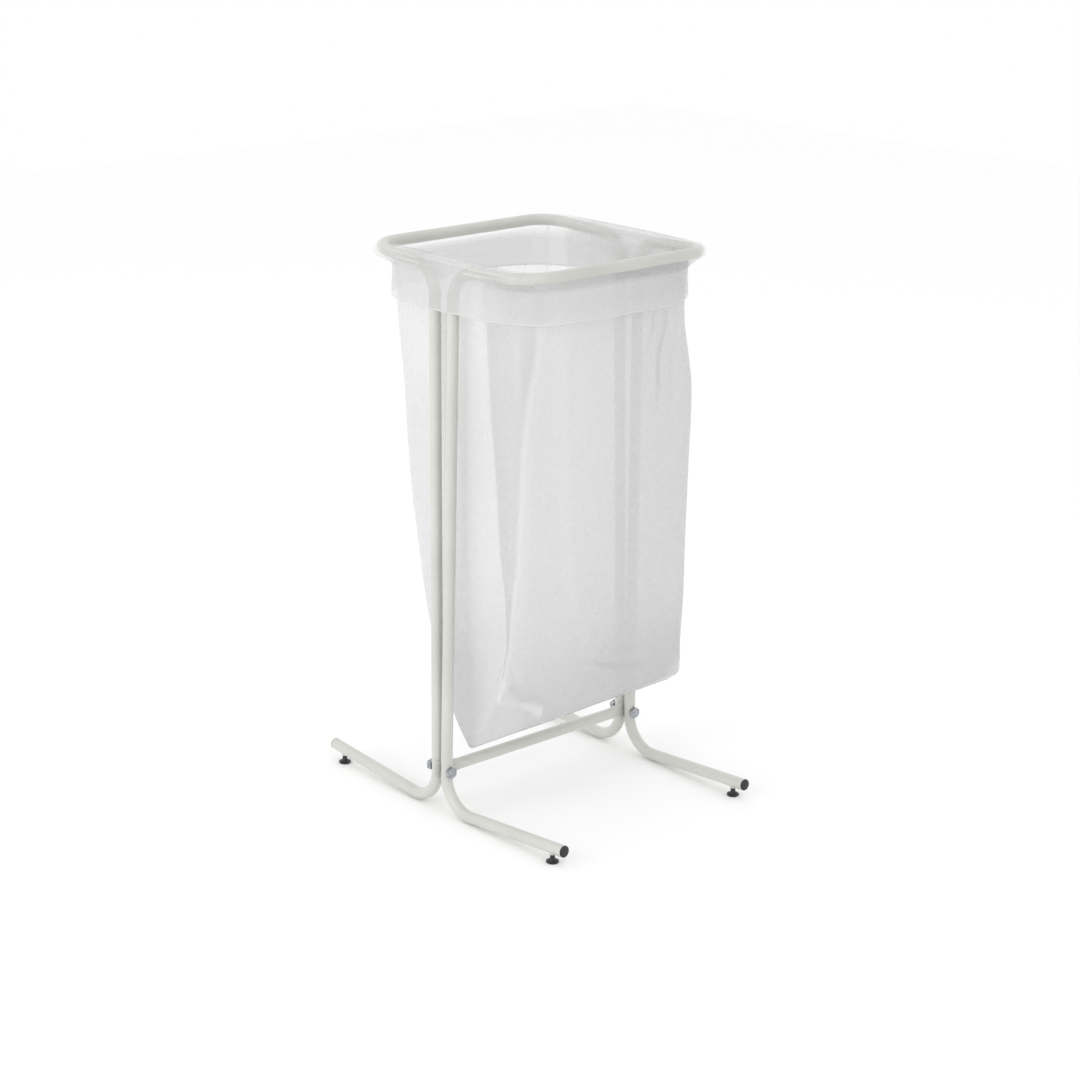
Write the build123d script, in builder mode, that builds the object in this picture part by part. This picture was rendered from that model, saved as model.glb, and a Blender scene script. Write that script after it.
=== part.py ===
"""Floor stand for a waste sack: two bent tube halves clamped on one crossbar.

Millimetres. X runs along the feet (+X is the front half), Y along the crossbar
(+Y is the right-hand pair of legs), Z is up. The origin is on the floor in the middle.
"""
import os
from math import pi, sqrt

from build123d import *

os.makedirs("parts", exist_ok=True)

# Round steel tube, the same for both halves and the crossbar
tube_d = 19.0
tube_wall = 1.5

# Rim: a rounded square, open at the middle of the two sides that carry the legs, where it
# dips and bows out a little
rim_half_x = 191.0
rim_half_y = 188.5
rim_z = 903.5
rim_dip = 10.0
rim_bow = 6.5
corner_bend_r = 51.0
top_bend_r = 45.0

# Legs: each pair spreads a little towards the floor and opens a little towards the rim
leg_half_gap_top = 22.7
leg_spread = 10.0
heel_z = 6.7
foot_bend_r = 56.0

# Feet: they rise gently from the heel to the glide
foot_end_x = 291.0
foot_toe_in = 4.5
glide_x = 265.0

# Crossbar with flattened ends
clamp_z = 73.5
paddle_thickness = 4.4
paddle_overhang = 13.0
paddle_flat_inside = 9.0
paddle_taper = 26.0
seat_depth = 0.3

# M10 clamp bolts and nuts
bolt_d = 10.0
bolt_hole_d = 10.5
bolt_length = 55.0
hex_across_flats = 17.0
head_height = 6.4
nut_height = 8.0
hex_chamfer = 1.0

# Threaded inserts and screw-in glides, M6
stud_d = 6.0
thread_clearance = 0.05
stud_reach = 16.5
insert_body_d = 9.0
insert_reach = 13.0
insert_collar_d = 11.5
insert_collar_height = 1.2
glide_height = 13.8
glide_gap = 0.3
pad_d = 20.0
pad_edge = 3.0
pad_neck_d = 8.0
pad_socket_depth = 8.0
pad_flare_top = 9.0
pad_base_chamfer = 0.8
stud_chamfer = 0.8

# End caps
cap_flange = 1.9
cap_crown = 1.1
cap_plug_depth = 13.0
cap_plug_wall = 1.6
cap_fin_depth = 1.2
cap_fin_pitch = 4.0
cap_fin_count = 3
cap_fin_thickness = 1.0
cap_clearance = 0.05

# Sack: film turned out over the rim into a cuff
film = 1.0
film_clearance = 0.5
hang_in = 0.2
gap_turn_r = 60.0
cuff_depth = 73.5
hem_flare = 1.5
hem_corner_r = 100.0
cuff_shoulder_depth = 18.5
cuff_shoulder_r = 68.0
seal_floor = 1.5

# Each level of the hanging film: its depth below the rim, the corner radius, the slope towards
# the left, how far the left and right sides bow out in their middle, and where each corner
# stands, as shares of the rim's inner half sizes, because the film narrows evenly with its rim.
# The corners run rear left, front left, front right, rear right; the lowest level is the seal.
sack_levels = [
    (84, 50, 0, 5, [(-0.975, -0.989), (0.975, -0.989), (0.975, 0.989), (-0.975, 0.989)]),
    (214, 30, 0, 5, [(-0.829, -0.950), (0.978, -1.028), (1.008, 1.022), (-0.928, 0.983)]),
    (344, 30, 0, 4, [(-0.747, -0.944), (0.923, -1.017), (1.008, 1.022), (-0.873, 0.972)]),
    (470, 30, 1.5, 4, [(-0.642, -0.939), (0.862, -1.011), (1.008, 1.022), (-0.802, 0.961)]),
    (592, 25, 4, 3, [(-0.488, -0.927), (0.691, -0.939), (1.006, 1.022), (-0.702, 0.939)]),
    (682, 18, 8, 2, [(-0.289, -0.911), (0.460, -0.883), (0.967, 1.028), (-0.526, 0.916)]),
    (722, 12, 11, 1, [(-0.157, -0.916), (0.284, -0.883), (0.890, 1.017), (-0.300, 0.894)]),
    (763, 3.5, 12.4, 0.5, [(0.074, -0.927), (0.146, -0.927), (0.702, 0.961), (0.196, 0.927)]),
]

tube_r = tube_d / 2
bore_r = tube_r - tube_wall
half_x_at_clamp = paddle_thickness / 2 + tube_r - seat_depth
head_seat = half_x_at_clamp + tube_r - seat_depth
hex_corner_r = hex_across_flats / sqrt(3)

leg_y_top = rim_half_y + rim_bow
leg_y_heel = leg_y_top + leg_spread
foot_end_y = leg_y_heel - foot_toe_in

# The leg's centre line is straight from the heel to the top bend, through the clamp
leg_top_z = rim_z - rim_dip
clamp_share = (clamp_z - heel_z) / (leg_top_z - heel_z)
heel_x = (half_x_at_clamp - leg_half_gap_top * clamp_share) / (1 - clamp_share)
clamp_y = leg_y_heel + (leg_y_top - leg_y_heel) * clamp_share

# The foot's centre line climbs from the heel to its height over the glide
collar_z = glide_height + glide_gap
glide_share = (glide_x - heel_x) / (foot_end_x - heel_x)
glide_y = leg_y_heel + (foot_end_y - leg_y_heel) * glide_share
axis_z_at_glide = collar_z + insert_collar_height + tube_r
foot_slope = (axis_z_at_glide - heel_z) / (glide_x - heel_x)
foot_end_z = heel_z + foot_slope * (foot_end_x - heel_x)


def leg_line(side):
    """Foot end, heel, top of leg and rim corner of one leg; side is -1 left, +1 right."""
    return [
        (foot_end_x, side * foot_end_y, foot_end_z),
        (heel_x, side * leg_y_heel, heel_z),
        (leg_half_gap_top, side * leg_y_top, leg_top_z),
        (rim_half_x, side * rim_half_y, rim_z),
    ]


foot_ends = {
    side: Plane(
        origin=leg_line(side)[0],
        z_dir=Vector(*leg_line(side)[0]) - Vector(*leg_line(side)[1]),
    )
    for side in (-1, 1)
}

# Front half: foot, leg, half of the rim, leg and foot in one bent tube
with BuildPart() as front_frame_tube:
    with BuildLine() as frame_line:
        FilletPolyline(
            *leg_line(-1),
            *reversed(leg_line(1)),
            radius=[foot_bend_r, top_bend_r, corner_bend_r, corner_bend_r, top_bend_r, foot_bend_r],
        )
    with BuildSketch(Plane(origin=frame_line.wire() @ 0, z_dir=frame_line.wire() % 0)):
        Circle(tube_r)
        Circle(bore_r, mode=Mode.SUBTRACT)
    sweep()
    for side in (-1, 1):
        # The leg is pressed flat where it bears on the paddle and under the bolt's head or nut
        with Locations((0, side * clamp_y, clamp_z)):
            Box(paddle_thickness, 3 * tube_d, 2 * tube_d, mode=Mode.SUBTRACT)
        with Locations((head_seat, side * clamp_y, clamp_z)):
            Box(
                tube_d,
                tube_d,
                2 * hex_corner_r + hex_chamfer,
                align=(Align.MIN, Align.CENTER, Align.CENTER),
                mode=Mode.SUBTRACT,
            )
            Cylinder(bolt_hole_d / 2, 3 * tube_d, rotation=(0, 90, 0), mode=Mode.SUBTRACT)
        # Hole for the threaded insert, through the lower wall only
        with Locations((glide_x, side * glide_y, axis_z_at_glide)):
            Cylinder(
                insert_body_d / 2,
                2 * tube_r,
                align=(Align.CENTER, Align.CENTER, Align.MAX),
                mode=Mode.SUBTRACT,
            )
front_frame_tube.part.label = "front_frame_tube"
export_step(front_frame_tube.part, "parts/front_frame_tube.step")

with BuildPart() as rear_frame_tube:
    add(front_frame_tube.part.mirror(Plane.YZ))
rear_frame_tube.part.label = "rear_frame_tube"
export_step(rear_frame_tube.part, "parts/rear_frame_tube.step")

# Crossbar: a straight tube, pressed to a paddle at each end. The skin keeps its length
# round the section, which gives the paddle's height.
skin_length = pi * (tube_d - tube_wall)
paddle_height = (skin_length - pi * (paddle_thickness - tube_wall)) / 2 + paddle_thickness
bar_end_y = clamp_y + paddle_overhang
flat_start_y = clamp_y - paddle_flat_inside
round_end_y = flat_start_y - paddle_taper
smallest_flat = 0.02


def tube_section(y, outward, width, height):
    """Section of the bar at y, looking along outward: two flats joined by round edges."""
    half_flat = max(height - width, smallest_flat) / 2
    r = width / 2
    with BuildSketch(Plane(origin=(0, y, clamp_z), x_dir=(1, 0, 0), z_dir=(0, outward, 0))) as section:
        with BuildLine():
            Line((r, -half_flat), (r, half_flat))
            ThreePointArc((r, half_flat), (0, half_flat + r), (-r, half_flat))
            Line((-r, half_flat), (-r, -half_flat))
            ThreePointArc((-r, -half_flat), (0, -half_flat - r), (r, -half_flat))
        make_face()
    return section.sketch


with BuildPart() as crossbar:
    for inset, mode in ((0, Mode.ADD), (tube_wall, Mode.SUBTRACT)):
        round_size = tube_d - 2 * inset
        paddle_size = (paddle_thickness - 2 * inset, paddle_height - 2 * inset)
        extrude(tube_section(-round_end_y, 1, round_size, round_size), amount=2 * round_end_y, mode=mode)
        for side in (-1, 1):
            round_end = tube_section(side * round_end_y, side, round_size, round_size)
            flat_start = tube_section(side * flat_start_y, side, *paddle_size)
            loft([round_end, flat_start], mode=mode)
            extrude(flat_start, amount=bar_end_y - flat_start_y, mode=mode)
    with Locations((0, -clamp_y, clamp_z), (0, clamp_y, clamp_z)):
        Cylinder(bolt_hole_d / 2, tube_d, rotation=(0, 90, 0), mode=Mode.SUBTRACT)
crossbar.part.label = "crossbar"
export_step(crossbar.part, "parts/crossbar.step")

# Clamp bolts, heads to the front, and their nuts
thread_hole_d = bolt_d + 2 * thread_clearance


def hex_blank(start_x, direction, height, base_chamfer):
    """Hexagon standing on a plane of constant x, with its corners turned to 30 degree cones."""
    seat = Plane(origin=(start_x, 0, 0), x_dir=(0, 0, 1), z_dir=(direction, 0, 0))
    with BuildPart() as blank:
        with BuildSketch(seat):
            RegularPolygon(hex_corner_r, 6)
        extrude(amount=height)
        with BuildSketch(Plane(origin=seat.origin, x_dir=seat.x_dir, z_dir=-seat.y_dir)):
            Polygon(
                (0, 0),
                (hex_corner_r - base_chamfer * sqrt(3), 0),
                (hex_corner_r, base_chamfer),
                (hex_corner_r, height - hex_chamfer),
                (hex_corner_r - hex_chamfer * sqrt(3), height),
                (0, height),
                align=None,
            )
        revolve(axis=Axis(seat.origin, seat.z_dir), mode=Mode.INTERSECT)
    return blank.part


for side, hand in ((-1, "left"), (1, "right")):
    with BuildPart() as clamp_bolt:
        add(hex_blank(head_seat, 1, head_height, 0).moved(Location((0, side * clamp_y, clamp_z))))
        with BuildSketch(Plane(origin=(head_seat, side * clamp_y, clamp_z), z_dir=(-1, 0, 0))):
            Circle(bolt_d / 2)
        extrude(amount=bolt_length)
        chamfer(clamp_bolt.edges().sort_by(Axis.X)[0], hex_chamfer)
    clamp_bolt.part.label = f"{hand}_clamp_bolt"
    export_step(clamp_bolt.part, f"parts/{hand}_clamp_bolt.step")

    with BuildPart() as clamp_nut:
        add(hex_blank(-head_seat, -1, nut_height, hex_chamfer).moved(Location((0, side * clamp_y, clamp_z))))
        with Locations((-head_seat, side * clamp_y, clamp_z)):
            Cylinder(thread_hole_d / 2, 3 * nut_height, rotation=(0, 90, 0), mode=Mode.SUBTRACT)
    clamp_nut.part.label = f"{hand}_clamp_nut"
    export_step(clamp_nut.part, f"parts/{hand}_clamp_nut.step")

# Foot fittings: an end cap, a threaded insert, a glide's stud and its pad on each foot
stud_base_z = glide_height - pad_socket_depth
stud_top_z = glide_height + stud_reach


def end_cap(side):
    """Domed cap on the front foot's end, with a hollow finned plug inside the tube."""
    end = foot_ends[side]
    plug_r = bore_r - cap_fin_depth
    fin_r = bore_r - cap_clearance
    hollow_r = plug_r - cap_plug_wall
    with BuildPart() as cap:
        with BuildSketch(Plane(origin=end.origin, x_dir=end.x_dir, z_dir=-end.y_dir)):
            with BuildLine():
                Line((0, 0), (0, cap_flange))
                TangentArc((0, cap_flange), (tube_r, cap_flange - cap_crown), tangent=(1, 0))
                Polyline(
                    (tube_r, cap_flange - cap_crown),
                    (tube_r, 0),
                    (plug_r, 0),
                    (plug_r, -cap_plug_depth),
                    (hollow_r, -cap_plug_depth),
                    (hollow_r, 0),
                    (0, 0),
                )
            make_face()
            fin_places = [(hollow_r, -cap_fin_pitch * (n + 0.5)) for n in range(cap_fin_count)]
            with Locations(*fin_places):
                Rectangle(fin_r - hollow_r, cap_fin_thickness, align=(Align.MIN, Align.CENTER))
        revolve(axis=Axis(end.origin, end.z_dir))
    return cap.part


def threaded_insert(side):
    """Insert through the foot's lower wall; its collar is saddled to the round of the tube."""
    foot_axis = Plane(origin=(glide_x, side * glide_y, axis_z_at_glide), z_dir=foot_ends[side].z_dir)
    with BuildPart() as insert:
        with Locations((glide_x, side * glide_y, collar_z)):
            Cylinder(insert_collar_d / 2, tube_r, align=(Align.CENTER, Align.CENTER, Align.MIN))
        with Locations(foot_axis):
            Cylinder(tube_r, 3 * tube_d, mode=Mode.SUBTRACT)
        with Locations((glide_x, side * glide_y, collar_z)):
            Cylinder(insert_body_d / 2, insert_reach, align=(Align.CENTER, Align.CENTER, Align.MIN))
            Cylinder(stud_d / 2 + thread_clearance, 3 * insert_reach, mode=Mode.SUBTRACT)
    return insert.part


def glide_stud(side):
    """Threaded stud, moulded into the pad and screwed up into the insert."""
    with BuildPart() as stud:
        with Locations((glide_x, side * glide_y, stud_base_z)):
            Cylinder(stud_d / 2, stud_top_z - stud_base_z, align=(Align.CENTER, Align.CENTER, Align.MIN))
        chamfer(stud.edges().sort_by(Axis.Z)[-1], stud_chamfer)
    return stud.part


def glide_pad(side):
    """Round moulded foot: a flat base, a hollow flare and a neck that holds the stud."""
    with BuildPart() as pad:
        with BuildSketch(Plane(origin=(glide_x, side * glide_y, 0), x_dir=(1, 0, 0), z_dir=(0, -1, 0))):
            with BuildLine():
                Polyline(
                    (stud_d / 2, stud_base_z),
                    (0, stud_base_z),
                    (0, 0),
                    (pad_d / 2 - pad_base_chamfer, 0),
                    (pad_d / 2, pad_base_chamfer),
                    (pad_d / 2, pad_edge),
                )
                TangentArc((pad_neck_d / 2, pad_flare_top), (pad_d / 2, pad_edge), tangent=(0, -1))
                Polyline(
                    (pad_neck_d / 2, pad_flare_top),
                    (pad_neck_d / 2, glide_height),
                    (stud_d / 2, glide_height),
                    (stud_d / 2, stud_base_z),
                )
            make_face()
        revolve(axis=Axis((glide_x, side * glide_y, 0), (0, 0, 1)))
    return pad.part


fittings = {
    "end_cap": end_cap,
    "glide_insert": threaded_insert,
    "glide_stud": glide_stud,
    "glide_pad": glide_pad,
}
for side, hand in ((-1, "left"), (1, "right")):
    for fitting_name, make_fitting in fittings.items():
        with BuildPart() as front_fitting:
            add(make_fitting(side))
        front_fitting.part.label = f"front_{hand}_{fitting_name}"
        export_step(front_fitting.part, f"parts/front_{hand}_{fitting_name}.step")

        with BuildPart() as rear_fitting:
            add(make_fitting(side).mirror(Plane.YZ))
        rear_fitting.part.label = f"rear_{hand}_{fitting_name}"
        export_step(rear_fitting.part, f"parts/rear_{hand}_{fitting_name}.step")

# Sack: film that hangs inside the rim, rolls over it and hangs outside as a cuff
roll_r = tube_r + film_clearance + film
hang_r = roll_r - hang_in
inner_half_x = rim_half_x - tube_r
inner_half_y = rim_half_y - tube_r
gap_share = (1 - leg_half_gap_top / rim_half_x) / 2


def bowed_outline(corners, bow):
    """Points round four corners, whose left and right sides bow out in two steps."""
    points = []
    for start, end, bow_y in zip(corners, corners[1:] + corners[:1], (-bow, 0, bow, 0)):
        points.append(start)
        if bow_y:
            for share in (gap_share, 1 - gap_share):
                x = start[0] + (end[0] - start[0]) * share
                y = start[1] + (end[1] - start[1]) * share
                points.append((x, y + bow_y))
    return points


def outline_face(plane, corners, bow, spread, corner_r):
    """Face inside a bowed outline that is set out by spread and rounded at its four corners."""
    with BuildSketch(plane) as outline:
        with BuildLine():
            Polyline(*bowed_outline(corners, bow), close=True)
        make_face()
        offset(amount=spread, kind=Kind.INTERSECTION)
        left = outline.vertices().filter_by(lambda v: v.Y < 0).sort_by(Axis.X)
        right = outline.vertices().filter_by(lambda v: v.Y > 0).sort_by(Axis.X)
        fillet([left[0], left[-1], right[0], right[-1]], corner_r)
    return outline.sketch


corner_signs = [(-1, -1), (1, -1), (1, 1), (-1, 1)]
rim_corners = [(sign_x * rim_half_x, sign_y * rim_half_y) for sign_x, sign_y in corner_signs]


def cuff_block(inset):
    """Solid bounded by the cuff's outer face, or by its inner face when inset by the film."""
    spread = hang_r - inset
    with BuildPart() as block:
        hem = outline_face(
            Plane.XY.offset(rim_z - cuff_depth), rim_corners, rim_bow, spread + hem_flare, hem_corner_r
        )
        shoulder = outline_face(
            Plane.XY.offset(rim_z - cuff_shoulder_depth), rim_corners, rim_bow, spread, cuff_shoulder_r
        )
        rim = outline_face(
            Plane.XY.offset(rim_z), rim_corners, rim_bow, spread, corner_bend_r + spread
        )
        loft([hem, shoulder, rim], ruled=True)
        if inset:
            extrude(hem, amount=-inset)
    return block.part


def hanging_block(inset):
    """Solid bounded by the hanging film's outer face, or by its inner face when inset."""
    inward = hang_r - film + inset
    with BuildPart() as block:
        mouth = outline_face(
            Plane.XY.offset(rim_z), rim_corners, rim_bow, -inward, corner_bend_r - inward
        )
        extrude(mouth, amount=tube_d)
        levels = [mouth]
        for depth, corner_r, slope, bow, shares in sack_levels:
            seal_lift = seal_floor if inset and depth == sack_levels[-1][0] else 0
            level_plane = Plane.XY.offset(rim_z - depth + seal_lift).rotated((slope, 0, 0))
            corners = [(inner_half_x * share_x, inner_half_y * share_y) for share_x, share_y in shares]
            levels.append(outline_face(level_plane, corners, bow, -inset, corner_r - inset))
        loft(levels, ruled=True)
    return block.part


def roll(radius):
    """Closed tube along the rim and straight across its two gaps."""
    gap_z = rim_z - rim_dip
    rim_points = bowed_outline(rim_corners, rim_bow)
    with BuildPart() as ring:
        with BuildLine() as rim_line:
            FilletPolyline(
                *[(x, y, rim_z if abs(x) == rim_half_x else gap_z) for x, y in rim_points],
                radius=[corner_bend_r if abs(x) == rim_half_x else gap_turn_r for x, y in rim_points],
                close=True,
            )
        with BuildSketch(Plane(origin=rim_line.wire() @ 0, z_dir=rim_line.wire() % 0)):
            Circle(radius)
        sweep()
    return ring.part


with BuildPart() as below_rim_line:
    with BuildSketch(Plane.XZ):
        Polygon(
            (-rim_half_x - tube_d, 0),
            (rim_half_x + tube_d, 0),
            (rim_half_x + tube_d, rim_z),
            (rim_half_x, rim_z),
            (leg_half_gap_top, rim_z - rim_dip),
            (-leg_half_gap_top, rim_z - rim_dip),
            (-rim_half_x, rim_z),
            (-rim_half_x - tube_d, rim_z),
            align=None,
        )
    extrude(amount=leg_y_top + tube_d, both=True)

with BuildPart() as tube_pocket:
    add(cuff_block(film))
    add(hanging_block(0), mode=Mode.SUBTRACT)
    add(below_rim_line.part, mode=Mode.INTERSECT)
    add(roll(roll_r - film))

with BuildPart() as waste_bag:
    add(cuff_block(0))
    add(hanging_block(0))
    add(below_rim_line.part, mode=Mode.INTERSECT)
    add(roll(roll_r))
    add(hanging_block(film), mode=Mode.SUBTRACT)
    add(tube_pocket.part, mode=Mode.SUBTRACT)
waste_bag.part.label = "waste_bag"
export_step(waste_bag.part, "parts/waste_bag.step")
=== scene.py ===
from math import cos, pi, radians, sin

import bpy
import numpy as np
from mathutils import Matrix, Vector, noise


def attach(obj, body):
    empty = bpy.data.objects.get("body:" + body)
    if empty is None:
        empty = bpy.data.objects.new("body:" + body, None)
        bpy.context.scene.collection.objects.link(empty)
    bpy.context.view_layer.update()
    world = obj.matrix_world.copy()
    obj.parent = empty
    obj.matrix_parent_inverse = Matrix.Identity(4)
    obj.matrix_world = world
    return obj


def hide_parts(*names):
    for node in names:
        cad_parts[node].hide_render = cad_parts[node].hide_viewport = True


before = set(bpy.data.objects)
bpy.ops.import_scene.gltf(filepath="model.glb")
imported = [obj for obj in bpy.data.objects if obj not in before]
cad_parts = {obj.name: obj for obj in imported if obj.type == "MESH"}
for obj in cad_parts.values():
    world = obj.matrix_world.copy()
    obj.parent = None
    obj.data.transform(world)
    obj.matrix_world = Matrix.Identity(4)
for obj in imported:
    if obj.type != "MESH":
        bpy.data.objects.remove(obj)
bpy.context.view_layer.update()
mm = 0.001

# Camera. A long lens from the right front, a little above the rim, as in the photograph.
camera_place = Vector((2905.2, -2589.4, 1651.2)) * mm
camera_right = Vector((0.664399, 0.747346, 0.006965))
camera_up = Vector((-0.229746, 0.195361, 0.953442))
camera_data = bpy.data.cameras.new("camera")
camera_data.sensor_width = 36
camera_data.lens = 83.38
camera_data.clip_end = 60
camera = bpy.data.objects.new("camera", camera_data)
camera_back = camera_right.cross(camera_up)
camera.matrix_world = Matrix.Translation(camera_place) @ Matrix(
    (camera_right, camera_up, camera_back)
).transposed().to_4x4()
bpy.context.scene.collection.objects.link(camera)
bpy.context.scene.camera = camera
bpy.context.scene.view_settings.view_transform = "Standard"

# Studio. A white floor that runs out of sight, a bright even surround and three soft boxes.
surround_strength = 1.0
soft_boxes = [
    # place, aim, size and power of each box
    ((-0.6, -3.6, 1.5), (0, 0, 0.6), 2.0, 27),
    ((3.6, -1.2, 3.2), (0, 0, 0.5), 0.6, 9),
    ((0.2, 0.4, 4.2), (0, 0, 0.6), 1.6, 4),
]


class Socket:
    """A shader socket that can be written with in plain arithmetic."""

    def __init__(self, tree, link):
        self.tree = tree
        self.link = link

    def node(self, kind, settings=None, **inputs):
        """Any node: its settings are set first, then its sockets by name or by index_N."""
        made = self.tree.nodes.new(kind)
        for name, value in (settings or {}).items():
            setattr(made, name, value)
        for name, value in inputs.items():
            key = int(name[6:]) if name.startswith("index_") else name.replace("_", " ")
            if isinstance(value, Socket):
                self.tree.links.new(value.link, made.inputs[key])
            else:
                made.inputs[key].default_value = value
        return made

    def out(self, made, name=0):
        return Socket(self.tree, made.outputs[name])

    def maths(self, operation, *values):
        inputs = {f"index_{n}": value for n, value in enumerate(values)}
        return self.out(self.node("ShaderNodeMath", {"operation": operation}, **inputs))

    def __add__(self, other):
        return self.maths("ADD", self, other)

    def __sub__(self, other):
        return self.maths("SUBTRACT", self, other)

    def __rsub__(self, other):
        return self.maths("SUBTRACT", other, self)

    def __mul__(self, other):
        return self.maths("MULTIPLY", self, other)

    __radd__ = __add__
    __rmul__ = __mul__

    def clamped(self):
        made = self.maths("ADD", self, 0.0)
        made.link.node.use_clamp = True
        return made

    def between(self, low, high):
        """0 below low, 1 above high, smooth between them."""
        settings = {"interpolation_type": "SMOOTHSTEP"}
        made = self.node("ShaderNodeMapRange", settings, Value=self, From_Min=low, From_Max=high)
        return self.out(made)


def new_material(name, **values):
    """A material with its Principled shader, whose even values are set on its own sockets."""
    material = bpy.data.materials.new(name)
    material.use_nodes = True
    tree = material.node_tree
    shader = tree.nodes["Principled BSDF"]
    for key, value in values.items():
        shader.inputs[key.replace("_", " ")].default_value = value
    start = Socket(tree, None)
    place = start.out(start.node("ShaderNodeTexCoord"), "Object")
    return material, shader, place


def grain(place, scale, detail=3.0, roughness=0.5, stretch=(1, 1, 1)):
    """Smooth random pattern from 0 to 1, in bumps of about 1/scale metres."""
    mapped = place.node("ShaderNodeMapping", Vector=place, Scale=stretch)
    settings = {"noise_dimensions": "3D"}
    made = place.node(
        "ShaderNodeTexNoise",
        settings,
        Vector=place.out(mapped),
        Scale=scale,
        Detail=detail,
        Roughness=roughness,
    )
    return place.out(made)


def bumped(shader, height, strength, distance):
    """Relief from a height pattern, as deep as distance in metres."""
    made = height.node("ShaderNodeBump", Strength=strength, Distance=distance, Height=height)
    height.tree.links.new(made.outputs[0], shader.inputs["Normal"])


def feed(shader, name, value):
    """Leads a varying value into one of the shader's sockets."""
    value.tree.links.new(value.link, shader.inputs[name])


def two_colours(share, low, high):
    """Colour that runs from low to high as share goes from 0 to 1."""
    settings = {"data_type": "RGBA"}
    made = share.node("ShaderNodeMix", settings, index_0=share, index_6=(*low, 1), index_7=(*high, 1))
    return share.out(made, 2)


floor_half = 6
floor_white = (0.98, 0.98, 0.98, 1)
floor_material = new_material("studio_floor", Base_Color=floor_white, Roughness=0.9)[0]
floor_mesh = bpy.data.meshes.new("studio_floor")
floor_mesh.from_pydata(
    [(x * floor_half, y * floor_half, 0) for x, y in ((-1, -1), (1, -1), (1, 1), (-1, 1))],
    [],
    [(0, 1, 2, 3)],
)
floor = bpy.data.objects.new("studio_floor", floor_mesh)
floor.data.materials.append(floor_material)
bpy.context.scene.collection.objects.link(floor)

world = bpy.data.worlds.new("surround")
world.use_nodes = True
world.node_tree.nodes["Background"].inputs["Color"].default_value = (1, 1, 1, 1)
world.node_tree.nodes["Background"].inputs["Strength"].default_value = surround_strength
bpy.context.scene.world = world
for number, (box_place, aim, size, power) in enumerate(soft_boxes):
    light = bpy.data.lights.new(f"soft_box_{number}", "AREA")
    light.size = size
    light.energy = power
    lamp = bpy.data.objects.new(f"soft_box_{number}", light)
    lamp.location = box_place
    lamp.rotation_euler = (Vector(aim) - Vector(box_place)).to_track_quat("-Z", "Y").to_euler()
    bpy.context.scene.collection.objects.link(lamp)


def dress(names, material):
    """Gives solids of the frame their finish."""
    for name in names:
        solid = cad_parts[name]
        solid.data.materials.clear()
        solid.data.materials.append(material)


hands = ("left", "right")
corners = [f"{row}_{hand}" for row in ("front", "rear") for hand in hands]

# Frame tubes, crossbar and threaded inserts. Bent and pressed round steel tube, powder coated
# in a warm light grey after the inserts are set, so all of them wear the same coat.
coat_light = (0.590, 0.597, 0.555)
coat_dark = (0.548, 0.555, 0.514)
coat, shader, place = new_material(
    "powder_coat", Metallic=0.0, IOR=1.5, Coat_Weight=0.5, Coat_Roughness=0.09
)
cloud = grain(place, 9, 4)
feed(shader, "Base Color", two_colours(cloud.between(0.3, 0.7), coat_dark, coat_light))
feed(shader, "Roughness", grain(place, 60, 3) * 0.14 + 0.24)
orange_peel = grain(place, 420, 2) + grain(place, 1500, 2) * 0.35
bumped(shader, orange_peel, 0.16, 0.0006)
dress(["front_frame_tube", "rear_frame_tube", "crossbar"], coat)
dress([f"{corner}_glide_insert" for corner in corners], coat)

# Clamp bolts, nuts and glide studs. Cold-headed steel, bright zinc plated with a blue cast. Only
# the studs carry a rolled thread, where they show between the pads and the feet.
stud_pitch = 0.001
full_turn = 2 * pi
zinc_dark = (0.27, 0.285, 0.31)
zinc_light = (0.50, 0.515, 0.535)


def zinc_plate(name, thread_axis=None):
    """Zinc plate, with the studs' thread along an axis where one is given."""
    material, shader, place = new_material(name, Metallic=1.0, Specular_IOR_Level=0.5)
    blotch = grain(place, 260, 4, 0.6)
    fine = grain(place, 1600, 3)
    feed(shader, "Base Color", two_colours(blotch.between(0.35, 0.65), zinc_dark, zinc_light))
    feed(shader, "Roughness", blotch * 0.22 + 0.16)
    surface = fine * 0.15
    if thread_axis:
        parts = place.node("ShaderNodeSeparateXYZ", Vector=place)
        along = place.out(parts, thread_axis)
        surface = place.maths("SINE", along * (full_turn / stud_pitch)) + surface
    bumped(shader, surface, 0.5, 0.0004)
    return material


hex_zinc = zinc_plate("zinc_plate")
dress([f"{hand}_clamp_nut" for hand in hands], hex_zinc)
dress([f"{hand}_clamp_bolt" for hand in hands], hex_zinc)
dress([f"{corner}_glide_stud" for corner in corners], zinc_plate("zinc_stud", "Z"))

# End caps and glide pads. Injection-moulded black plastic, slightly uneven in tone and sheen,
# with a fine spark texture all over.
black_deep = (0.014, 0.013, 0.016)
black_worn = (0.030, 0.029, 0.033)
black, shader, place = new_material("black_moulding", Specular_IOR_Level=0.45)
feed(shader, "Base Color", two_colours(grain(place, 70, 4), black_deep, black_worn))
feed(shader, "Roughness", grain(place, 300, 3) * 0.2 + 0.36)
bumped(shader, grain(place, 2400, 2), 0.25, 0.0002)
dress([f"{corner}_end_cap" for corner in corners], black)
dress([f"{corner}_glide_pad" for corner in corners], black)

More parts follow.
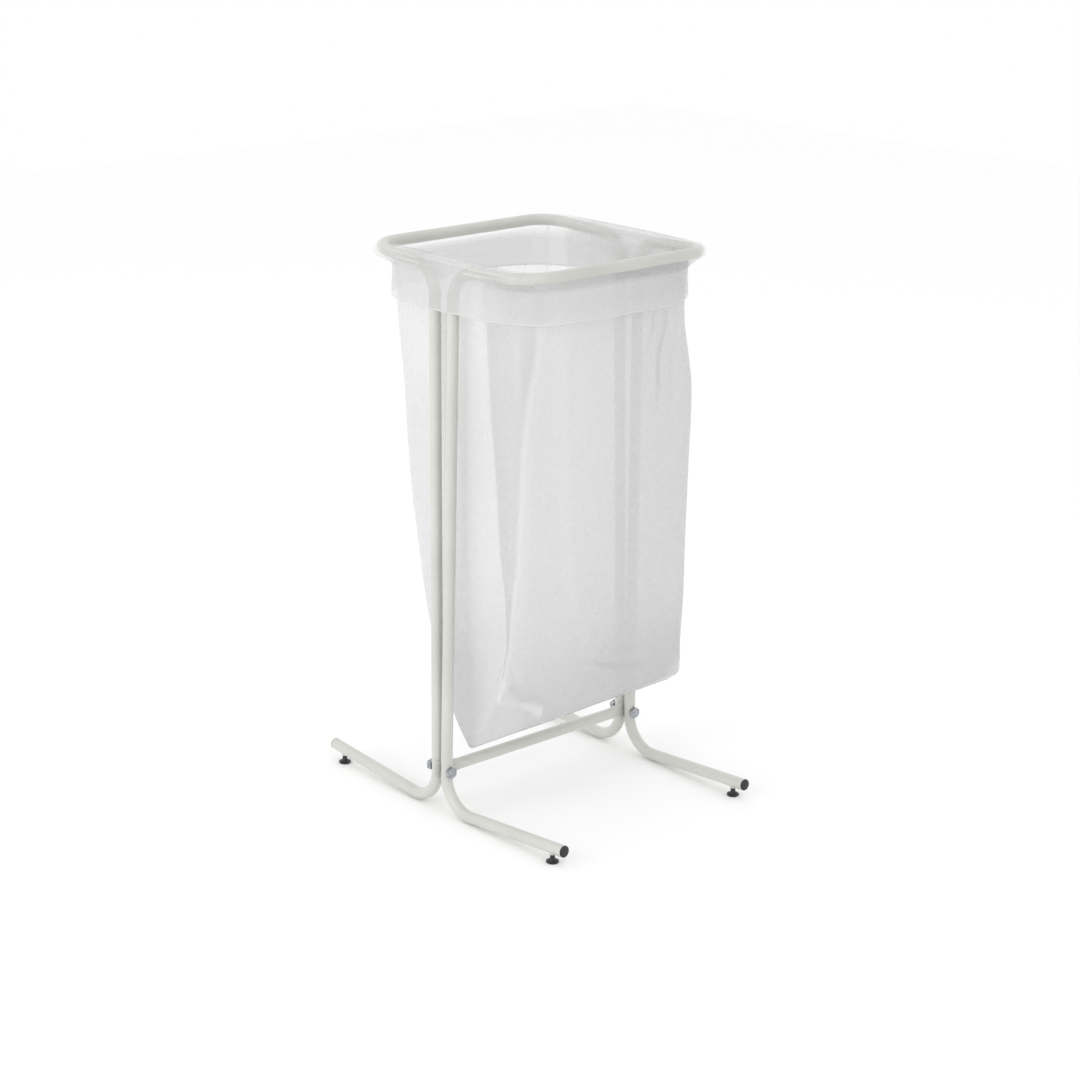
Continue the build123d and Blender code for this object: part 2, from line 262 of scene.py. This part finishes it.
# Sack. One sheet of blown milky film, sealed across the bottom, dropped through the rim and
# turned out over it, its cuff drawn in under the corners. It keeps the creases of its flat pack.
# Lengths are in millimetres and the rim's and tube's are those of the solids.
rim_half_x = 191.0
rim_half_y = 188.5
rim_z = 903.5
rim_bend = 51.0
film_r = 10.1
leg_x = 22.7
rim_bow = 6.5
rim_dip = 10.0
tube_r = 9.5
leg_slope = 0.0113
cuff_depths = np.concatenate([[73.5, 72.3], np.linspace(70.5, 24, 17), np.linspace(21.5, 0, 12)])
cuff_draw_r = 52.0
around = 384
quarter = around // 4
arc_points = 24
roll_points = 17
hanging_rows = 118
floor_shares = (0.85, 0.65, 0.45, 0.25, 0.08)
levels = [
    # depth below the rim, corner radius, slope, bow of the left and right sides, and each
    # corner's distance in from the rim: rear left, front left, front right, rear right
    (0, 41, 0, 0, [(0, 0), (0, 0), (0, 0), (0, 0)]),
    (40, 46, 0, 2, [(5, 4), (3, 2), (1.5, 1.5), (5, 4)]),
    (90, 50, 0, 2, [(5.5, 3), (4, 2), (1.5, 1), (6, 4)]),
    (214, 30, 0, 3, [(31, 9), (4, -5), (-1.5, -4), (13, 3)]),
    (344, 30, 0, 3, [(46, 10), (14, -3), (-1.5, -4), (23, 5)]),
    (470, 30, 1.5, 3, [(65, 11), (25, -2), (-1.5, -4), (36, 7)]),
    (592, 25, 4, 3, [(93, 13), (56, 11), (-1, -4), (54, 11)]),
    (682, 18, 8, 2, [(129, 16), (98, 21), (6, -5), (86, 15)]),
    (722, 12, 11, 1, [(153, 15), (130, 21), (8, -3), (127, 19)]),
    (745, 8, 12, 0.5, [(174, 14), (143, 17), (14, 0), (165, 16)]),
    (763, 3.5, 12.4, 0, [(195, 13), (155, 13), (38, 5), (205, 13)]),
]
corner_signs = np.array([(-1, -1), (1, -1), (1, 1), (-1, 1)])
crinkled_spots = ((-182, -175, 838), (90, -199, 850), (200, -76, 832), (200, -56, 886))


def rounded_ring(corner_points, corner_r):
    """Points evenly spaced from mid side to mid side round each corner of a rounded outline."""
    ring = []
    for k in range(4):
        before = (corner_points[k - 1] + corner_points[k]) / 2
        after = (corner_points[k] + corner_points[(k + 1) % 4]) / 2
        corner = corner_points[k]
        reach_before = np.linalg.norm(before - corner)
        reach_after = np.linalg.norm(after - corner)
        to_before = (before - corner) / reach_before
        to_after = (after - corner) / reach_after
        half_angle = np.arccos(np.clip(to_before @ to_after, -1, 1)) / 2
        tangent = min(corner_r / np.tan(half_angle), 0.98 * reach_before, 0.98 * reach_after)
        r = tangent * np.tan(half_angle)
        middle = (to_before + to_after) / np.linalg.norm(to_before + to_after)
        centre = corner + middle * r / np.sin(half_angle)
        x, y = corner + to_before * tangent - centre
        sweep = pi - 2 * half_angle
        arc = [
            centre + np.array((x * cos(a) - y * sin(a), x * sin(a) + y * cos(a)))
            for a in np.linspace(0, sweep, arc_points)
        ]
        line = np.array([before, *arc, after])
        run = np.concatenate(([0], np.cumsum(np.linalg.norm(np.diff(line, axis=0), axis=1))))
        want = np.linspace(0, run[-1], quarter, endpoint=False)
        ring.append(np.stack([np.interp(want, run, line[:, 0]), np.interp(want, run, line[:, 1])], 1))
    return np.concatenate(ring)


def smooth(x):
    """0 up to x = 0, 1 from x = 1 on, smooth between them."""
    x = np.clip(x, 0, 1)
    return x * x * (3 - 2 * x)


def tube_face_y(x, z):
    """How far the tube under the left or right side of the film stands out at x and z."""
    w = np.clip((rim_half_x - np.abs(x)) / (rim_half_x - leg_x), 0, 1)
    centre_y = rim_half_y + rim_bow * w
    centre_z = rim_z - rim_dip * w
    drop = np.clip(z - centre_z, 0, tube_r)
    leg_spread = np.where(z < centre_z, (centre_z - z) * leg_slope, 0)
    return centre_y + np.sqrt(tube_r**2 - drop**2) + leg_spread + film_r - tube_r


def cuff_rings():
    """From the hem up to the widest line of the roll over the rim; drawn in under the corners."""
    rings = []
    for depth in cuff_depths:
        draw = smooth((depth - 3) / 24)
        r = rim_bend + film_r + cuff_draw_r * draw
        spread = film_r - 1.5 * draw + 1.2 * smooth((depth - 40) / 33)
        ring = rounded_ring(corner_signs * (rim_half_x + spread, rim_half_y + spread), r)
        rings.append(np.column_stack([ring, np.full(around, rim_z - depth)]))
    return rings


def roll_rings():
    """Over the rim, from its widest line outside to its widest line inside."""
    rings = []
    for turn in np.linspace(0, pi, roll_points)[1:-1]:
        spread = film_r * cos(turn)
        ring = rounded_ring(corner_signs * (rim_half_x + spread, rim_half_y + spread), rim_bend + spread)
        rings.append(np.column_stack([ring, np.full(around, rim_z + film_r * sin(turn))]))
    return rings


def hanging_rings():
    """From the rim's inner side down to the seal, and in along the floor."""
    depths = np.array([level[0] for level in levels], float)
    table = np.array([[level[1], level[2], level[3], *np.ravel(level[4])] for level in levels])
    rows = np.linspace(0, depths[-1], hanging_rows)
    slopes = np.gradient(table, depths, axis=0)
    rings = []
    for depth in rows:
        k = min(np.searchsorted(depths, depth, side="right") - 1, len(depths) - 2)
        step = depths[k + 1] - depths[k]
        t = (depth - depths[k]) / step
        value = (
            (2 * t**3 - 3 * t**2 + 1) * table[k]
            + (t**3 - 2 * t**2 + t) * step * slopes[k]
            + (3 * t**2 - 2 * t**3) * table[k + 1]
            + (t**3 - t**2) * step * slopes[k + 1]
        )
        corner_r, slope, bow = value[:3]
        insets = value[3:].reshape(4, 2)
        half = np.array((rim_half_x - film_r, rim_half_y - film_r))
        ring = rounded_ring(corner_signs * (half - insets), max(corner_r, 2))
        side = np.sign(ring[:, 1])
        ring[:, 1] += side * bow * np.exp(-((ring[:, 0] / 90) ** 2))
        tilt = radians(slope)
        rings.append(
            np.column_stack([ring[:, 0], ring[:, 1] * cos(tilt), rim_z - depth + ring[:, 1] * sin(tilt)])
        )
    middle = rings[-1].mean(axis=0)
    floor_edge = rings[-1]
    rings += [middle + (floor_edge - middle) * share for share in floor_shares]
    return rings


cuff = cuff_rings()
rolled = roll_rings()
hanging = hanging_rings()
film = np.array(cuff + rolled + hanging)
row_count = len(film)

# The cuff stands clear of the legs and of the tube's bulge at the left and right sides
for row in range(len(cuff) + len(rolled) // 2):
    ring = film[row]
    reach = tube_face_y(ring[:, 0], ring[:, 2])
    across = np.abs(ring[:, 0])
    drop = rim_z - ring[:, 2]
    share = np.maximum(smooth((150 - across) / 70), 1 - smooth((drop - 10) / 12))
    share = share * (across < rim_half_x - 20)
    side = np.abs(ring[:, 1])
    pushed = side + np.maximum(reach - side, 0) * share * (side > rim_half_y - 30)
    film[row, :, 1] = np.sign(ring[:, 1]) * pushed


def ring_normals(points):
    """Outward directions of the film, taken from its own grid."""
    along = np.roll(points, -1, axis=1) - np.roll(points, 1, axis=1)
    down = np.gradient(points, axis=0)
    normal = np.cross(down, along)
    return normal / np.maximum(np.linalg.norm(normal, axis=2, keepdims=True), 1e-9)


def ripple(points, size, seed):
    """Smooth noise over the film, between about -1 and 1."""
    value = np.empty(points.shape[:2])
    offset = Vector((seed * 13.1, seed * 7.7, seed * 3.3))
    for row in range(points.shape[0]):
        for column in range(points.shape[1]):
            x, y, z = points[row, column]
            value[row, column] = noise.noise(Vector((x / size[0], y / size[0], z / size[1])) + offset)
    return value


normals = ring_normals(film)
below_rim = np.clip((rim_z - film[:, :, 2]) / 120, 0, 1)
far_corner_column = 3 * quarter + quarter // 2
rows = np.arange(row_count)[:, None]
is_hanging = rows >= len(cuff) + len(rolled)
is_cuff = rows < len(cuff)
bottom_share = smooth((rows - row_count + 27) / 22)

x, y, z = film[:, :, 0].copy(), film[:, :, 1].copy(), film[:, :, 2].copy()
depth = rim_z - z


def line_x(points):
    """Where a crease of the near side crosses each height, from its (z, x) points."""
    heights, places = zip(*sorted(points))
    return np.interp(z, heights, places)


def ridge(distance, width):
    """1 on a line, falling off smoothly to either side of it."""
    return np.exp(-((distance / width) ** 2))


lazy = ripple(film, (120, 480), 1) * 7.0
pleat = ripple(film, (36, 300), 2) * 1.8
crinkle = ripple(film, (15, 26), 3)
height = np.where(is_hanging, (lazy + pleat) * below_rim * (1 - 0.75 * bottom_share), 0)

# The flat pack's side crease runs down the near side, and the film between it and the near
# corner turns in to it.
near_side = is_hanging & (y < -60)
pack_crease = line_x([(880, 66), (810, 70), (600, 92), (480, 100), (385, 104), (300, 100), (200, 79)])
turned_in = np.interp(z, [150, 200, 300, 385, 480, 810, 890], [0, 5, 13, 15, 10, 5, 0])
off_crease = x - pack_crease
near_corner = line_x([(880, 172), (690, 170), (592, 160), (445, 150), (300, 118), (200, 82)])
fold_width = np.maximum(near_corner - pack_crease, 12)
tent = np.where(off_crease > 0, 1 - off_crease / fold_width, np.exp(off_crease / 45))
height -= np.where(near_side, turned_in * np.clip(tent, 0, 1), 0)
crease_rise = 1.6 * ridge(off_crease, 3) + 1.3 * ridge(x - near_corner, 2.5)
height += np.where(near_side, crease_rise * below_rim, 0)

# Gathers hang from the front right corner, and slack lies across the front just over the seal
front_side = is_hanging & (x > 0)
slant = line_x([(800, -60), (470, -150)])
hollow = 3.0 * ridge(y - slant, 20) * smooth((840 - z) / 60) * smooth((z - 430) / 60)
height -= np.where(front_side & (y < 60), hollow, 0)
gather = np.sin((y + 10 * np.sin(z / 47) + 5 * np.sin(z / 19)) / 4.6)
gather_zone = ridge(y - 92, 34) * smooth((depth - 72) / 30) * smooth((300 - depth) / 120)
gather *= np.where(front_side, gather_zone, 0)
slack = np.sin((z + 0.22 * y + 9 * np.sin(y / 31)) / 7.5)
slack *= np.where(front_side, ridge(y - 30, 75) * ridge(depth - 668, 34), 0)
height += 2.0 * gather + 1.8 * slack

# Pleats fan out below the far corner, where the film's spare width is gathered over the rim
columns = np.arange(around)[None, :]
from_far_corner = (columns - far_corner_column) * 3.7
fan = np.cos(from_far_corner / (3.2 + 0.055 * depth)) ** 3
fan_zone = ridge(from_far_corner, 26 + 0.35 * depth) * smooth(depth / 12)
fan *= np.where(is_hanging, fan_zone * smooth((230 - depth) / 150), 0)
height += 2.2 * fan

# The left and right sides bridge the dip of the rim, pulled into straight ridges
bridge = smooth((178 - np.abs(x)) / 90) * (np.abs(y) > 150)
over = rows - len(cuff)
stretched = (0.5 + 0.5 * np.cos(over * 2 * pi / 4.5)) ** 2
stretched = stretched * smooth((over + 8) / 5) * smooth((len(rolled) + 5 - over) / 4)
height += 1.5 * stretched * bridge

# The cuff is crinkled, most of all by its hem, which swings in and out
hem_share = smooth((depth - 20) / 50)
cuff_rise = np.abs(pleat) * 0.8 + crinkle * 0.5 + np.abs(lazy) * 0.15
for spot in crinkled_spots:
    near = ridge(np.linalg.norm(film - np.array(spot, float), axis=2), 22)
    cuff_rise = cuff_rise + near * (0.6 + 2.2 * crinkle)
height += np.where(is_cuff, cuff_rise * hem_share, 0)
height += np.where(is_hanging, crinkle * 0.3 * smooth((140 - depth) / 60) * below_rim, 0)
film += normals * height[:, :, None]

# The hem was cut and stretched, so it isn't level
hem_swing = ripple(film, (70, 70), 5)[:1] * 4.0
film[:, :, 2] += np.where(is_cuff, hem_swing * smooth((depth - 30) / 43), 0)

vertices = [tuple(point * mm) for point in film.reshape(-1, 3)]
faces = []
for row in range(row_count - 1):
    for column in range(around):
        after = (column + 1) % around
        a = row * around
        b = a + around
        faces.append((a + column, a + after, b + after, b + column))
faces.append(tuple(range((row_count - 1) * around, row_count * around)))
mesh = bpy.data.meshes.new("waste_sack")
mesh.from_pydata(vertices, [], faces)
mesh.polygons.foreach_set("use_smooth", [True] * len(faces))

# How veiled and how milky the film is at each vertex, by zone. The shares are set to the
# photograph's brightness, so some of its lighting is in them; they aren't a measured property.
veil_base, veil_front, veil_fold, veil_far, veil_low = 0.45, 0.30, 0.20, 0.15, 0.14
veil_crease, veil_pulled, veil_fan, veil_hem = 0.20, 0.14, 0.16, 0.25
veil_rear, veil_cuff = 0.15, 0.22
to_front = smooth((columns - 1.5 * quarter + 9) / 9) * smooth((2.5 * quarter + 12 - columns) / 10)
in_fold = np.where(near_side, smooth((off_crease + 3) / 6) * smooth((near_corner - x + 8) / 16), 0)
in_fold *= (columns < 1.6 * quarter) * smooth((z - 190) / 150)
low = smooth((depth - 540) / 170)
far = (1 - to_front) * smooth((columns - 2.5 * quarter) / 12) * (columns < 3.4 * quarter)
# Painted light and shade: on top of the film's own layers, the veil is raised by zone on the front face,
# the far side, the fold panel and the low part, and lowered on the rear's upper part.
veil_and_shade_share = veil_base + veil_front * to_front + veil_fold * in_fold * (1 - to_front)
veil_and_shade_share = veil_and_shade_share + veil_far * far + veil_low * low
# Painted highlight and shade along the folds, which also get more veil: the near side's crease lines are
# made lighter, and the crests of the front's gathers and slack darker.
painted_crease_lines = np.where(near_side, 0.8 * ridge(off_crease, 3.5) + 0.8 * ridge(x - near_corner, 3), 0)
painted_crease_lines += np.maximum(gather, 0) ** 2 * 0.9 + np.maximum(slack, 0) ** 2 * 0.6
pulled = stretched * bridge
rear = smooth((-x - 90) / 50) * smooth((y + 175) / 60)
veil_and_shade_share -= veil_rear * rear * smooth((300 - depth) / 120)
hem_edge = np.where(rows < 2, veil_hem, 0)
veil_and_shade_share += veil_crease * painted_crease_lines + veil_pulled * pulled + veil_fan * np.maximum(fan, 0) ** 2 + hem_edge
veil_and_shade_share += np.where(is_cuff, veil_cuff * (1 - to_front), 0)
# Painted shade: the front face's base tone darkens more and more towards its right-hand end.
front_shade = 0.20 + 0.42 * smooth((y + 150) / 330)
milk_and_shade_share = 0.95 - 0.9 * in_fold - to_front * (1 - in_fold) * front_shade - 0.30 * low
# Painted highlight along the near side's creases, painted shade along the other folds.
crease_shade_sign = np.where(is_hanging, np.sign(y + 60), 1)
milk_and_shade_share -= np.where(is_cuff, 0.05 + 0.40 * (1 - to_front), 0) + 0.5 * painted_crease_lines * crease_shade_sign
on_tube = np.where(is_hanging, smooth((13 - depth) / 6), smooth((28 - depth) / 14))
tight = on_tube * (1 - 0.72 * bridge)
veil_and_shade_share = veil_and_shade_share * (1 - 0.88 * tight)
for name, share in (("veil_and_shade", veil_and_shade_share), ("milk_and_shade", milk_and_shade_share)):
    stored = mesh.attributes.new(name, "FLOAT", "POINT")
    stored.data.foreach_set("value", np.clip(share, 0, 1).ravel())
sack = bpy.data.objects.new("waste_sack", mesh)
bpy.context.scene.collection.objects.link(sack)

# Milky film. Clear where it lies tight on the tube and more veiled where it hangs free.
# The dull tone also serves as painted shade, on the front face and along the folds' shaded lines.
film_dull_and_shaded = (0.52, 0.52, 0.523)
film_milky = (0.72, 0.72, 0.722)
film_material, shader, place = new_material("milky_film", IOR=1.5)
# Alpha follows the per-vertex veil share, whose zone values are partly painted light and shade.
veil_and_shade = place.out(place.node("ShaderNodeAttribute", {"attribute_name": "veil_and_shade"}), "Fac")
feed(shader, "Alpha", (veil_and_shade + (grain(place, 6, 2) - 0.5) * 0.06).clamped())
milk_and_shade = place.out(place.node("ShaderNodeAttribute", {"attribute_name": "milk_and_shade"}), "Fac")
feed(shader, "Base Color", two_colours(milk_and_shade, film_dull_and_shaded, film_milky))
feed(shader, "Roughness", grain(place, 40, 3) * 0.1 + 0.22)
crinkles = grain(place, 12, 2, 0.4, (1, 1, 0.2)) + grain(place, 60, 2, 0.4, (1, 1, 0.15)) * 0.12
bumped(shader, crinkles, 0.12, 0.004)
sack.data.materials.append(film_material)

# The film casts no shadow, which stands in for the light that milky film lets through
sack.visible_shadow = False
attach(sack, "frame")
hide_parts("waste_bag")
